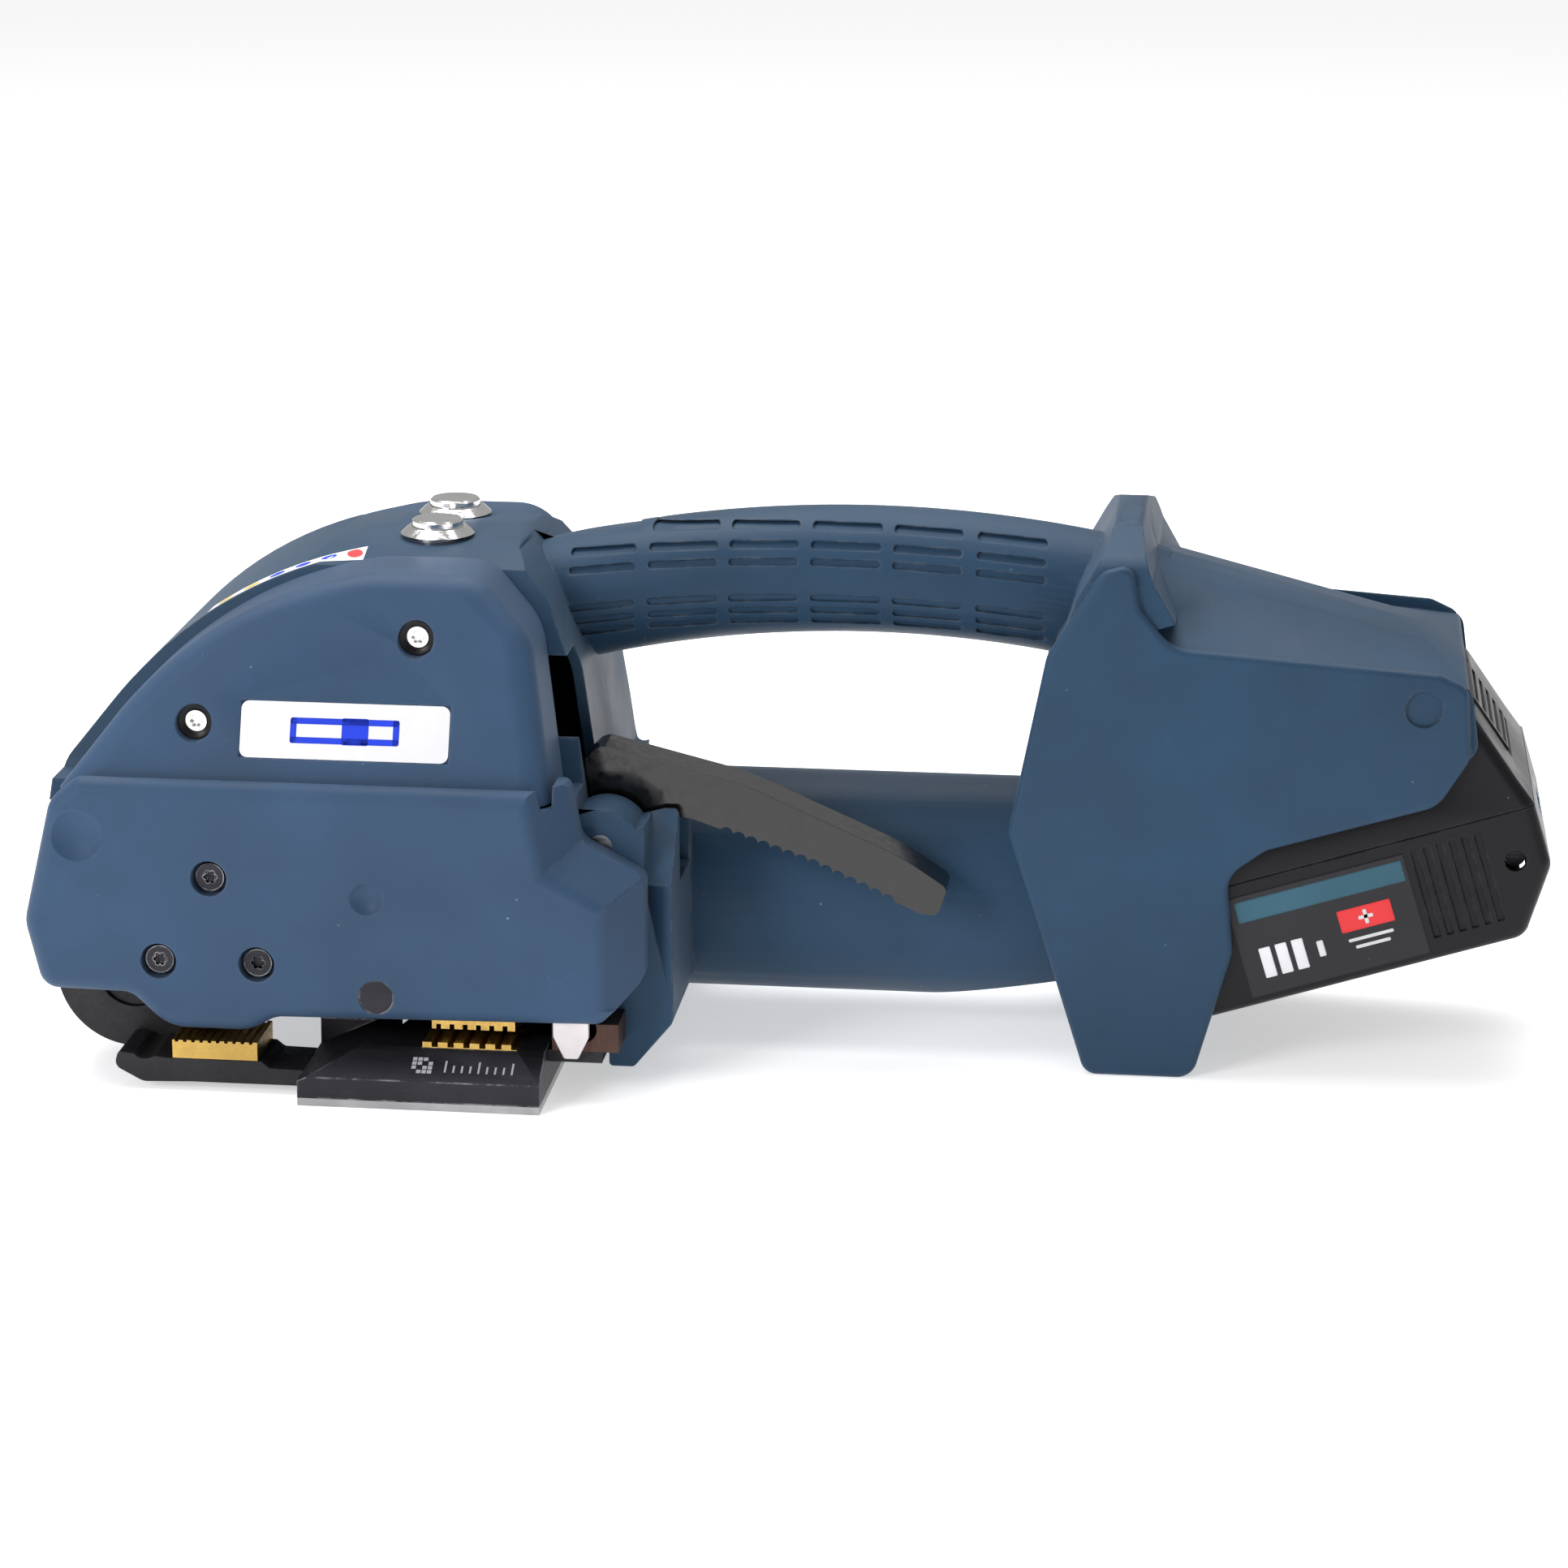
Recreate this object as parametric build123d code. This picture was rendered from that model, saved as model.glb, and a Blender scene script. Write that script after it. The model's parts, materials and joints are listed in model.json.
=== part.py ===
from build123d import *
import os
from math import cos, degrees, pi, sin

# Battery strapping tool. Millimetres, +Z up, +X towards the battery.
# The origin is the centre of the wear plate's underside. The parts are drawn about the
# handle's middle plane, y = 0, and moved to the origin when they are written.

# ---- driving dimensions ----
wall = 2.6                # moulded shell wall
gap = 0.4                 # clearance between bodies that move past each other
seat = 0.05               # radial clearance of a running pin or shaft

plate_length = 58.0       # wear plate along x
plate_depth = 66.0        # wear plate along y
plate_near = -86.0        # near edge of the base
wear_thickness = 2.0
base_top = 12.6           # strap surface of the base
base_crest = 7.2          # foot of the lead-in slope
lead_in = 9.4             # depth of the lead-in slope
strap_width = 16.0
strap_thickness = 0.9

near_face = -78.0         # near face of the lower cover
near_wall = -61.0         # near face of the casing behind the lower cover
cover_near = -73.0        # near face of the upper cover at the cover line
seam_near = -50.0         # back of the upper cover at the cover line
cover_line = 73.0         # height where the lower and upper covers meet
face_lean = 18.0          # lean of the upper cover over face_rise
face_rise = 46.0
far_lean = 7.0            # lean of the far side over the same rise
seam_far = 32.0           # seam of the far cover at the cover line
far_face = 46.0           # far face of the tool's body

handle_height = 31.0
handle_width = 33.0
handle_wall = 3.0
slot_depth = 0.7          # grip slots of the handle
slot_height = 1.7
slot_bow = 9.0            # drop of a slot row from the middle of the handle to its ends
slot_centre = 90.0
slot_columns = ((33.8, 16.4), (53.7, 17.0), (73.5, 16.9), (93.5, 17.0), (113.3, 16.7), (133.6, 16.9))
slot_rows = (127.0, 123.1, 119.3, 110.6, 107.3, 104.3)
tube_radius = 27.4
tube_axis = 35.0
tube_end = 150.0
step_x = 39.0             # low step behind the lever, where the tube shows
step_y = -24.0
step_top = 52.0

incline = 17.5            # slope of the battery in degrees
battery_half_width = 37.5
battery_front = 151.0     # measured along the slope
battery_bottom = -42.0    # measured square to the slope
battery_seam = -11.0
battery_top = 20.0
battery_tail = 269.0
cheek_half_width = 40.8
edge_round = 1.5          # outer edges of the cheeks

wheel_x = -51.5           # tension wheel
wheel_z = 39.0
pivot_x = -11.2           # rocker pivot
pivot_z = 24.9
pivot_radius = 4.2
nose_x = -74.0            # round nose of the rocker
nose_z = 23.6
nose_radius = 19.2
rocker_near = -60.4
rocker_far = -47.0
lever_x = 40.0            # lever pivot
lever_z = 59.0
lever_near = -44.0
lever_far = -32.0
lever_hub_radius = 8.0
scallop_count = 14        # finger grips under the lever
scallop_start = 68.0
scallop_pitch = 3.0
scallop_radius = 1.6
lever_pin_radius = 3.0
facet_x = 50.5            # sloped facet behind the lever hub

gear_near = -36.0         # plane of the spur gears
gear_width = 8.0
cross_x = 8.0             # cross shaft, level with the motor
cam_x = 11.0              # eccentric shaft
cam_z = 54.0
cam_throw = 1.2
cam_pin_radius = 2.6
belt_near = 35.0
belt_width = 6.0
weld_motor_x = -22.0
weld_motor_z = 62.0
weld_pulley_radius = 8.0
cam_pulley_radius = 12.0

button_x = -6.9
button_pitch = 24.6
button_flange_radius = 9.0
button_head_radius = 6.2
crown_top = 123.5

screw_recess_radius = 4.3
screw_head_radius = 3.4

screw_shank_radius = 2.0
recess_depth = 5.0
cover_round = 4.0         # soft rim of the lower cover
slant_run = 9.0           # slope at the lower cover's right end: width and depth
slant_drop = 11.0
black_depth = 3.8         # depth of the lower cover's screw recesses
far_screw_depth = 3.0     # depth of the far cover's screw recesses
silver_places = ((-55.9, 87.7), (-3.8, 107.8))
black_places = ((-50.8, 52.8), (-63.5, 32.0), (-39.8, 32.0))
far_places = ((-80, 54), (-50, 90), (10, 102), (20, 77), (-30, 34), (44, 30))
vent_count = 7
vent_pitch = 6.0

fit = 0.1                 # gap between seated parts
rim_round = 7.0           # soft rim of the upper cover
nameplate_place = (-19.6, 87.0)
nameplate_width = 50.0
nameplate_height = 13.6
weld_tooth_x = (-0.6, 22.3)
tooth_seat = 2.0
base_step = 10.0          # top of the base under the gear sump
tension_tooth_base = 8.0
guide_top = 18.9

# tension drive
wheel_near = -71.0
wheel_far = -61.2
wheel_shaft_radius = 5.0
bearing_radius = 11.0
spur_radius = 9.0
middle_radius = 12.45
mesh = 0.3                # radial gap between the teeth of mating gears
belt_thickness = 1.6
latch_half = 17.0
shoulder_round = 3.0      # rounded shoulders at the battery's tail
rear_screw_u = 261.1
rear_screw_v = -22.8
cheek_dimple = (232.8, 93.9)
cheek_dimple_radius = 4.4
cheek_dimple_depth = 0.8

# ---- derived places ----
middle_gear = ((pivot_x + wheel_x) / 2, (pivot_z + wheel_z) / 2)
cross_radius = ((pivot_x - cross_x) ** 2 + (pivot_z - tube_axis) ** 2) ** 0.5 - spur_radius
motor_rings = []
wheel_radius = wheel_z - base_top - strap_thickness
sump_near = gear_near - 3.0
frame_far = sump_near - gap
web_near = rocker_far + 2.5
web_far = web_near + 6.0
gear_far = gear_near + gear_width
plate_far = plate_near + plate_depth
strap_near = plate_near + lead_in
strap_far = strap_near + strap_width
shift = Pos(0, -(plate_near + plate_far) / 2, 0)
slope = Rot(0, -incline, 0)
near_inner = near_face + wall

os.makedirs("parts", exist_ok=True)


# ---- shape helpers ----
def outline(corners):
    """Closed face from (x, z, corner radius) rows."""
    points = [(row[0], row[1]) for row in corners]
    return make_face(FilletPolyline(*points, radius=[row[2] for row in corners], close=True))


def slab(face, y_low, y_high):
    """A side outline made solid between two y planes."""
    return Pos(0, y_high, 0) * extrude(Plane.XZ * face, amount=y_high - y_low)


def bar(face, x_low, x_high):
    """A y-z outline made solid between two x planes."""
    return Pos(x_low, 0, 0) * extrude(Plane.YZ * face, amount=x_high - x_low)


def block(x_low, x_high, y_low, y_high, z_low, z_high):
    middle = Pos((x_low + x_high) / 2, (y_low + y_high) / 2, (z_low + z_high) / 2)
    return middle * Box(x_high - x_low, y_high - y_low, z_high - z_low)


def rod_y(x, z, radius, y_low, y_high):
    return Pos(x, (y_low + y_high) / 2, z) * Rot(90, 0, 0) * Cylinder(radius, y_high - y_low)


def rod_x(y, z, radius, x_low, x_high):
    return Pos((x_low + x_high) / 2, y, z) * Rot(0, 90, 0) * Cylinder(radius, x_high - x_low)


def rod_z(x, y, radius, z_low, z_high):
    return Pos(x, y, (z_low + z_high) / 2) * Cylinder(radius, z_high - z_low)


def ring_y(x, z, outer, inner, y_low, y_high):
    return rod_y(x, z, outer, y_low, y_high) - rod_y(x, z, inner, y_low - 1, y_high + 1)


def gear(x, z, tip_radius, bore, teeth, y_low, y_high):
    """Spur gear: teeth stop short of the mating gear by the running clearance."""
    depth = 1.6
    points = []
    for tooth in range(teeth):
        for share, radius in ((0.0, tip_radius - depth), (0.3, tip_radius - depth),
                              (0.45, tip_radius), (0.7, tip_radius)):
            angle = 2 * pi * (tooth + share) / teeth
            points.append((x + radius * cos(angle), z + radius * sin(angle)))
    disc = slab(make_face(Polyline(*points, close=True)), y_low, y_high)
    return disc - rod_y(x, z, bore, y_low - 1, y_high + 1)


def front_edges(solid, y):
    return solid.edges().filter_by_position(Axis.Y, y - 0.01, y + 0.01)


def save(node, *solids):
    shapes = [shift * solid for solid in solids]
    whole = shapes[0] if len(shapes) == 1 else Compound(children=shapes)
    export_step(whole, "parts/" + node + ".step")


# ---- outlines seen from the near side ----
casing_corners = [
    (-93, 24, 4), (-97, 44, 8), (-92, 73, 10), (-60, 113.5, 95), (-14, crown_top, 60),
    (14, crown_top, 9), (24, 112, 12), (31, 95, 20), (36, 60, 2), (57, 66, 2), (57.5, 16, 3),
    (48, 4.5, 1.5), (42, 4.5, 1), (42, 17, 1), (-38, 17, 1), (-44, 24, 3)]
sump_corners = [(-66, 30, 3), (24, 30, 3), (24, 11, 3), (-66, 11, 3)]
upper_corners = [
    (-88.5, 71.5, 0), (-58, 111, 90), (-18, 121.5, 45), (10, 121.5, 12), (23, 108, 16),
    (30, 71.5, 0)]
lower_corners = [
    (-82.5, 76, 4), (-89.5, 70, 8), (-96.5, 40, 9), (-92.5, 23.4, 5), (-71, 23, 5),
    (-62, 14.6, 12), (-42, 14.6, 12), (-36, 18.2, 6), (42, 19.4, 4), (51.5, 29, 5),
    (51.5, 54, 4), (36.2, 62, 5), (33.2, 76, 2)]
cheek_corners = [
    (156.5, 124.5, 5), (143.8, 103.7, 8), (135.4, 60, 6), (144.2, 33.9, 6), (155, 0, 4),
    (181, 0, 5), (189.8, 32, 6), (187.9, 51, 7), (197, 57.8, 6), (237, 70, 8),
    (244.3, 82, 6), (243, 99, 4), (236, 102.2, 4), (188, 105.4, 10), (173, 106.5, 10),
    (165.5, 116, 6), (163.5, 126.5, 3)]
collar_corners = [
    (146, 103, 0), (150.5, 117, 8), (158.5, 131.5, 3), (164.5, 133, 3), (168.5, 121.5, 3),
    (174, 112, 0)]
rear_corners = [
    (157, 124.5, 3), (145.3, 103.7, 8), (137, 60, 6), (145.8, 33.9, 6), (156.2, 2, 3),
    (179, 2, 3), (188.3, 32, 6), (186.4, 52, 6), (196, 59.3, 6), (236, 71.5, 8),
    (246, 84, 5), (244, 98, 5), (232, 105.3, 12), (182, 120.2, 20), (168, 125, 6)]
far_corners = [
    (-89, 27, 6), (-93, 44, 8), (-88.5, 73, 10), (-59, 110.5, 88), (-18, 120.5, 45),
    (10, 120.5, 12), (22, 107, 16), (28, 90, 20), (33, 62, 6), (37, 46, 6), (53, 44, 6), (53, 22, 6),
    (42, 13.5, 6), (-62, 13.5, 6), (-68, 27, 6)]
lever_corners = [
    (31.2, 60, 6), (33.5, 75.5, 3), (37.4, 79.5, 4), (72, 71, 60), (110, 54.4, 60),
    (121.5, 46.8, 2), (119.2, 39.8, 2), (115, 40.2, 2), (88.8, 52, 30), (60, 61.8, 20),
    (48.5, 63.6, 3), (48.2, 57, 5), (42, 50.4, 6), (33, 52, 6)]


def shell_section(inset):
    """Body section across x: lean of both sides, crowned top."""
    lean = face_lean / face_rise
    rise = crown_top - 4.5 - cover_line
    near_top = seam_near + lean * rise + inset
    far_top = seam_far - far_lean / face_rise * rise - inset
    return make_face(Polyline(
        (near_wall + inset, -5), (near_wall + inset, cover_line - inset - 1.7),
        (seam_near + inset, cover_line - inset - 1.7), (near_top, crown_top - 4.5 - inset),
        (near_top + 10, crown_top - 1.5 - inset), (0, crown_top - inset),
        (far_top - 8, crown_top - 1.2 - inset), (far_top, crown_top - 4.5 - inset),
        (seam_far - inset, cover_line), (seam_far - inset, -5), close=True))


def body_outer():
    body = slab(outline(casing_corners), near_wall - 5, far_face)
    body = body & bar(shell_section(0), -110, 70)
    body = body - block(step_x, 80, step_y, 60, step_top, 130)
    sump = slab(outline(sump_corners), sump_near, seam_far)
    return body + sump


def body_inner():
    body = slab(offset(outline(casing_corners), -wall), near_wall - 5, far_face)
    body = body & bar(shell_section(wall), -110, 70)
    body = body - block(step_x - wall, 80, step_y - wall, 60, step_top - wall, 130)
    sump = slab(offset(outline(sump_corners), -wall), sump_near + wall, seam_far - wall)
    return body + sump


def handle_path():
    return ThreePointArc((8, 0, 100.8), (90, 0, 114.6), (168, 0, 106.6))


def handle_solid(inset):
    path = handle_path()
    section = Plane(origin=path @ 0, x_dir=(0, 1, 0), z_dir=path % 0)
    face = section * Ellipse(handle_width / 2 - inset, handle_height / 2 - inset)
    return sweep(face, path)


def tube_solid(inset):
    tube = rod_x(0, tube_axis, tube_radius - inset, step_x - 4 + inset, tube_end)
    lift = Pos(109, 0, tube_axis - tube_radius + inset) * Rot(0, -14, 0)
    return tube - lift * block(0, 90, -60, 60, -40, 0)


def rear_section(x, side, shoulder, ridge, crown, inset):
    half = battery_half_width - inset
    rows = [(-half, -10), (-half, side), (-ridge, shoulder), (0, crown), (ridge, shoulder),
            (half, side), (half, -10)]
    return Pos(x, 0, 0) * (Plane.YZ * make_face(Polyline(*rows, close=True)))


def rear_solid(inset):
    front = rear_section(130, 109 - inset, 130 - inset, 15, 132 - inset, inset - 1)
    back = rear_section(250, 98 - inset, 100 - inset, 13, 101 - inset, inset - 1)
    body = loft([front, back], ruled=True)
    face = outline(rear_corners)
    if inset:
        face = offset(face, -inset)
    return body & slab(face, -50, 50)


def cheek(side):
    low = battery_half_width + 1
    plate = slab(outline(cheek_corners), low, cheek_half_width)
    plate = fillet(front_edges(plate, cheek_half_width), edge_round)
    plate = plate - rod_y(*cheek_dimple, cheek_dimple_radius, cheek_half_width - cheek_dimple_depth, 60)
    return plate if side > 0 else mirror(plate, Plane.XZ)


def battery_bay():
    """Space the battery slides in, in slope coordinates."""
    bay = block(battery_front - gap, 300, -battery_half_width - gap, battery_half_width + gap,
                battery_bottom - gap, battery_top + gap)
    return slope * bay


def collar():
    """Hand stop across the front of the rear housing."""
    low = battery_half_width + 1
    section = make_face(FilletPolyline(
        (-low, 95), (-low, 126.5), (-14, 132), (14, 132), (low, 126.5), (low, 95),
        radius=[0, 7, 30, 30, 7, 0], close=True))
    return slab(outline(collar_corners), -low, low) & bar(section, 140, 180)


def grip_slots():
    """Shallow slots on both sides of the handle, in rows that follow its arc."""
    skin = handle_solid(-1) - handle_solid(slot_depth)
    slots = []
    for middle, width in slot_columns:
        for height in slot_rows:
            lift = slot_bow * ((middle - slot_centre) / slot_centre) ** 2
            z = height - lift
            long = width / 2 - slot_height / 2
            tilt = -2 * slot_bow * (middle - slot_centre) / slot_centre ** 2
            stadium = slab(make_face(SlotCenterToCenter(2 * long, slot_height).face()), -30, 30)
            slots.append(Pos(middle, 0, z) * Rot(0, -degrees(tilt), 0) * stadium)
    return skin, slots


def casing():
    solid = body_outer() + handle_solid(0) + tube_solid(0) + rear_solid(0) + cheek(1) + cheek(-1) + collar()
    skin, slots = grip_slots()
    for slot in slots:
        solid = solid - (skin & slot)
    tube_core = tube_solid(wall)
    solid = solid - body_inner() - handle_solid(handle_wall) - tube_core - rear_solid(wall)
    solid = solid - battery_bay()
    boss = rod_y(lever_x, lever_z - 1, 10.2, near_wall, lever_near - 2.5)
    housing = block(30, 60, near_wall - 1, lever_far + 6, 44.5, 70) & body_outer()
    solid = solid + boss + housing
    return solid


def casing_openings():
    """Everything cut through the casing after it is hollowed."""
    rocker_bay = block(-94.4, 3, near_wall - 1, rocker_far + 1.5, 0, 66)
    arm_window = block(cam_x - 9, cam_x + 9, near_wall - 1, near_wall + wall + 1, cam_z - 9, cam_z + 9)
    lever_slot = block(24, 60, lever_near - 2, lever_far + 4, 49, 100)
    lever_pocket = block(34, 60, lever_near - 2, lever_far + 4, 47, 90)
    pin_hole = rod_y(lever_x, lever_z, lever_pin_radius, near_wall - 1, lever_far + 8)
    frame_window = block(-31, 24.5, near_wall - 1, web_far + 1.5, 0, 24)
    cuts = [rocker_bay, arm_window, lever_slot, lever_pocket, pin_hole, frame_window]
    cuts += [rod_z(button_x, side * button_pitch / 2, button_head_radius + 0.8, 100, 130)
             for side in (-1, 1)]
    cuts.append(rod_y(cam_x, cam_z, 7, seam_far - 6, seam_far + 1))
    cuts.append(rod_y(weld_motor_x, weld_motor_z, 7, seam_far - 6, seam_far + 1))
    return cuts


def make_casing():
    solid = casing()
    for cut in casing_openings():
        solid = solid - cut
    chamfer_plane = Pos(0, near_wall, 50) * Rot(45, 0, 0) * block(facet_x, 80, -60, 60, 0, 60)
    solid = solid - chamfer_plane
    near_half = solid & block(-200, 400, -200, 0, -50, 300)
    far_half = solid & block(-200, 400, 0, 200, -50, 300)
    save("near_shell", near_half)
    save("far_shell", far_half)


# ---- near side covers ----
def lean_y(face_y, z):
    """y of a leaning face at height z."""
    return face_y + face_lean / face_rise * (z - cover_line)


def lean_slice(y_front, y_back):
    rows = [(lean_y(y_front, 60), 60), (lean_y(y_back, 60), 60), (lean_y(y_back, 130), 130),
            (lean_y(y_front, 130), 130)]
    return bar(make_face(Polyline(*rows, close=True)), -110, 60)


def face_plane(x, z):
    """Plane on the upper cover's leaning face."""
    length = (face_lean ** 2 + face_rise ** 2) ** 0.5
    return Plane(origin=(x, lean_y(cover_near, z), z), x_dir=(1, 0, 0),
                 z_dir=(0, -face_rise / length, face_lean / length))


def make_upper_cover():
    back = seam_near - fit
    cover = slab(outline(upper_corners), -90, -20) & lean_slice(cover_near, back)
    face = cover.faces().sort_by(Axis.Y)[0]
    rim = [edge for edge in face.edges() if edge.center().Z > cover_line]
    cover = fillet(rim, rim_round)
    core = slab(offset(outline(upper_corners), -wall), -90, -20)
    core = core & lean_slice(cover_near + wall, back + 1)
    cover = cover - core
    for x, z in silver_places:
        boss = rod_y(x, z, screw_recess_radius + 2, -90, -20) & lean_slice(cover_near + 1, back)
        cover = cover + boss
        cover = cover - rod_y(x, z, screw_recess_radius, -90, lean_y(cover_near, z) + recess_depth)
        cover = cover - rod_y(x, z, screw_shank_radius, -90, -20)
    pocket = face_plane(*nameplate_place) * Box(nameplate_width + fit, nameplate_height + fit, 1.2)
    save("near_upper_cover", cover - pocket)
    plate = Pos(0, 0, -0.35) * Box(nameplate_width, nameplate_height, 0.5)
    plate = fillet(plate.edges().filter_by(Axis.Z), 2)
    save("nameplate", face_plane(*nameplate_place) * plate)


def slant(start, end, inset):
    """Space outside a face that slopes back to one straight edge of the cover's outline."""
    length = ((end[0] - start[0]) ** 2 + (end[1] - start[1]) ** 2) ** 0.5
    out_x = (end[1] - start[1]) / length
    out_z = (start[0] - end[0]) / length
    normal = Vector(out_x * slant_drop, -slant_run, out_z * slant_drop).normalized()
    origin = Vector(start[0], near_face + slant_drop, start[1]) - normal * inset
    return Plane(origin=origin, z_dir=normal) * Pos(0, 0, 60) * Box(200, 200, 120)


def sloped_back(solid, inset):
    """The cover's face turns back along its right-hand edges, over a ridge with one inner corner."""
    neck = solid - slant((36.5, 60), (33.2, 76), inset)
    body = solid - slant((51.7, 54), (36.2, 62), inset)
    body = body - slant((51.7, 29), (51.7, 54), inset)
    return neck + body


def slant_shell():
    """Wall kept where the face slopes back."""
    big = block(-20, 60, near_face - 5, near_wall + 5, 0, 80)
    return big - sloped_back(big, wall)


def make_lower_cover():
    back = near_wall - fit
    cover = sloped_back(slab(outline(lower_corners), near_face, back), 0)
    cover = fillet(front_edges(cover, near_face), cover_round)
    core = sloped_back(slab(offset(outline(lower_corners), -wall), near_inner, back + 1), wall)
    cover = cover - core
    cover = cover - (block(-76, 41, near_inner, back + 1, 5, 26) - slant_shell())
    cover = cover - block(-100, 30.2, lean_y(cover_near, 70) - fit, back + 1, 71, 80)
    for x, z in black_places:
        cover = cover + rod_y(x, z, screw_recess_radius + 1.8, near_inner - 1, wheel_near - 1)
        cover = cover - rod_y(x, z, screw_recess_radius, near_face - 1, near_face + black_depth)
        cover = cover - rod_y(x, z, screw_shank_radius, near_face - 1, near_wall)
    cover = cover - Pos(-82.5, near_face - 8, 62.2) * Sphere(10.2)
    cover = cover - Pos(-13.1, near_face - 4.4, 49.1) * Sphere(6.0)
    cover = cover - rod_y(pivot_x, pivot_z, pivot_radius, near_face - 1, near_inner + 1)
    save("near_lower_cover", cover)


def far_cover_front(z):
    """y of the far cover's outer face at height z."""
    return min(far_face, far_face - far_lean / face_rise * (z - cover_line))


def make_far_cover():
    near = seam_far + fit
    lean = far_lean / face_rise
    rise = 130 - cover_line
    section = make_face(Polyline(
        (near, -5), (near, cover_line), (near - lean * rise, 130), (far_face - lean * rise, 130),
        (far_face, cover_line), (far_face, -5), close=True))
    core_section = make_face(Polyline(
        (near - 1, -5), (near - 1, cover_line), (near - lean * rise - 1, 130),
        (far_face - lean * rise - wall, 130), (far_face - wall, cover_line),
        (far_face - wall, -5), close=True))
    cover = slab(outline(far_corners), 0, 60) & bar(section, -110, 70)
    core = slab(offset(outline(far_corners), -wall), 0, 60) & bar(core_section, -110, 70)
    cover = cover - core
    for x, z in far_places:
        front = far_cover_front(z)
        back = min(near, near - lean * (z - cover_line))
        cover = cover + (rod_y(x, z, 5.5, back, front - 1) & bar(section, -110, 70))
        cover = cover - rod_y(x, z, screw_recess_radius, front - far_screw_depth, 60)
        cover = cover - rod_y(x, z, screw_shank_radius, 0, 60)
    for step in range(vent_count):
        x = -70 + step * vent_pitch
        cover = cover - block(x, x + 3, far_face - wall - 1, far_face + 1, 48, 62)
    save("far_cover", cover)


# ---- base ----
def make_base():
    wear = block(-plate_length / 2, plate_length / 2, plate_near, plate_far, 0, wear_thickness)
    save("wear_plate", wear)
    rows = [(plate_near, wear_thickness), (plate_far, wear_thickness), (plate_far, base_step),
            (frame_far, base_step), (frame_far, base_top), (strap_near, base_top),
            (plate_near, base_crest)]
    base = bar(make_face(Polyline(*rows, close=True)), -plate_length / 2, plate_length / 2)
    rows = [(-60, base_crest - 1), (-plate_length / 2, base_crest - 1),
            (-plate_length / 2 + 14, base_top + 0.01), (-plate_length / 2 + 14, 20), (-60, 20)]
    ramp = slab(make_face(Polyline(*rows, close=True)), plate_near - 1, rocker_near + 3)
    base = base - ramp
    base = base - block(*weld_tooth_x, strap_near - 0.01, strap_far, base_top - tooth_seat, 20)
    save("base_block", base)
    arm_corners = [
        (-plate_length / 2, 2.2, 0), (-56, 2.2, 0), (-68, 1.8, 4), (-75, 5.5, 2.2), (-74, 9.2, 1.2),
        (-62, tension_tooth_base, 0), (-39, tension_tooth_base, 0), (-37, 6.4, 0),
        (-plate_length / 2, 6.2, 0)]
    arm = slab(outline(arm_corners), strap_near - 2, rocker_near - 0.8)
    notch = rod_y(-67.3, 11, 3.4, strap_near - 3, rocker_near)
    save("front_arm", arm - notch)
    plate = block(-60.7, -40, strap_near - 1.8, rocker_near - 1, tension_tooth_base, base_top)
    cuts = [block(-60 + 2.0 * step, -59.2 + 2.0 * step, -90, -50, base_top - 0.5, base_top + 1)
            for step in range(10)]
    save("tension_tooth_plate", plate - cuts)
    plate = block(weld_tooth_x[0] + 0.1, weld_tooth_x[1] - 0.1, strap_near, strap_far - 0.1,
                  base_top - tooth_seat, base_top + 1.4)
    pitch = (weld_tooth_x[1] - weld_tooth_x[0]) / 6
    cuts = [block(weld_tooth_x[0] + (step + 0.62) * pitch, weld_tooth_x[0] + (step + 1) * pitch,
                  -90, -50, base_top + 0.2, base_top + 3) for step in range(6)]
    save("weld_tooth_plate", plate - cuts)
    tongue = outline([(30.6, 20.3, 0), (30.6, 16, 2), (33.2, 10.6, 0.8), (36.6, 10.6, 0.8),
                      (39.2, 16, 2), (39.2, 20.3, 0)])
    tongue = slab(tongue, near_inner + fit, near_inner + 2)
    save("strap_tongue", tongue + block(30.6, 39.2, near_inner + 2, -64, guide_top, 20.3))
    guide = block(plate_length / 2 + 1, 46.0, -73, near_wall - fit, 11.8, guide_top)
    save("guide_block", guide - rod_y(37.5, 17.4, 3.2, -80, -50))
    spacer = block(plate_length / 2, 41.9, -72, frame_far, 8.8, 11.8)
    save("spacer_block", spacer)


def make_main_frame():
    foot = block(-plate_length / 2, 22, rocker_far + 0.6, frame_far, base_top, 20)
    web = block(-27, 20, web_near, web_far, 20, 70)
    frame = foot + web
    frame = frame + block(plate_length / 2, 40.9, -57, frame_far, 11.8, 16.9)
    frame = frame + block(21, 30, rocker_far + 0.6, frame_far, base_top, 16.9)
    frame = frame + ring_y(cam_x, cam_z, 12, 7.5, web_near - 3, web_far)
    frame = frame - rod_y(cam_x, cam_z, 7.5, web_near - 5, web_far + 2)
    frame = frame - rod_y(cross_x, tube_axis, 4.5, web_near - 5, web_far + 2)
    frame = frame - rod_y(pivot_x, pivot_z, pivot_radius, -60, 0)
    save("main_frame", frame)
    save("rocker_pin", rod_y(pivot_x, pivot_z, pivot_radius, near_face + 0.3, gear_far + 1))
    lever_pin = rod_y(lever_x, lever_z, lever_pin_radius, near_wall + 0.5, lever_far + 5)
    save("lever_pin", lever_pin)


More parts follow.
